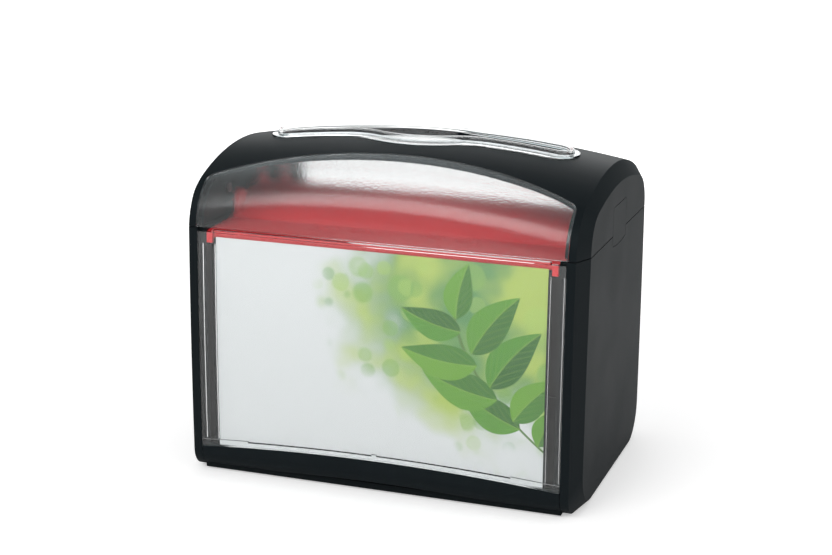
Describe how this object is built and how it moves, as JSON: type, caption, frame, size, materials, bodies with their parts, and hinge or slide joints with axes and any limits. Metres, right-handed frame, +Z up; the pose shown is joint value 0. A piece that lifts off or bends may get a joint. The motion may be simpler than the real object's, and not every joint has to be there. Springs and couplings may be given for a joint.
{
  "type": "tabletop napkin dispenser",
  "caption": "Tabletop napkin dispenser with spring platform, hinged domed lid, raised mouth slot, frosted lid windows and clear card pockets front and rear.",
  "frame": {"origin": "on the table plane, under the middle of the body", "axes": "+X to the right seen from the front, towards the release button; front face towards -Y; +Z up"},
  "size_m": [0.231, 0.155, 0.1926],
  "materials": {
    "black_shell": "satin",
    "black_inner": "matte",
    "clear": "polished",
    "frosted": "frosted",
    "card": "printed card",
    "red": "moulded",
    "rubber": "matte",
    "steel": "plain"
  },
  "bodies": {
    "housing": {"left_cheek": "black_shell", "right_cheek": "black_shell", "latch_strike": "steel", "front_sill": "black_shell", "rear_sill": "black_shell", "base_tray": "black_inner", "rubber_feet": "rubber", "base_screws": "steel", "front_clear_panel": "clear", "rear_clear_panel": "clear", "front_card": "card", "rear_card": "card", "front_pocket_panel": "black_inner", "rear_pocket_panel": "black_inner", "left_well_liner": "black_inner", "right_well_liner": "black_inner", "left_lift_spring": "steel", "right_lift_spring": "steel"},
    "lid": {"lid_shell": "black_shell", "front_lid_window": "frosted", "rear_lid_window": "frosted", "mouth_ring": "clear", "left_lid_liner": "black_inner", "right_lid_liner": "black_inner", "lid_screws": "steel", "hinge_pins": "steel", "button_carrier": "black_inner", "button_spring": "steel"},
    "button": {"release_button": "black_shell"},
    "platform": {"pusher_platform": "red"}
  },
  "joints": [
    {"name": "lid_hinge", "type": "hinge", "parent": "housing", "child": "lid", "pos_m": [-0.1126, 0, 0.14695], "axis": [0, -1, 0], "range_deg": [0, 90]},
    {"name": "button_press", "type": "slide", "parent": "lid", "child": "button", "axis": [-1, 0, 0], "range_m": [0, 0.002], "stiffness_N_per_m": 1200, "springref_m": -0.001, "deforming": ["button_spring"]},
    {"name": "platform_lift", "type": "slide", "parent": "housing", "child": "platform", "axis": [0, 0, 1], "range_m": [-0.115, 0], "stiffness_N_per_m": 90, "springref_m": 0.05, "deforming": ["left_lift_spring", "right_lift_spring"]}
  ]
}
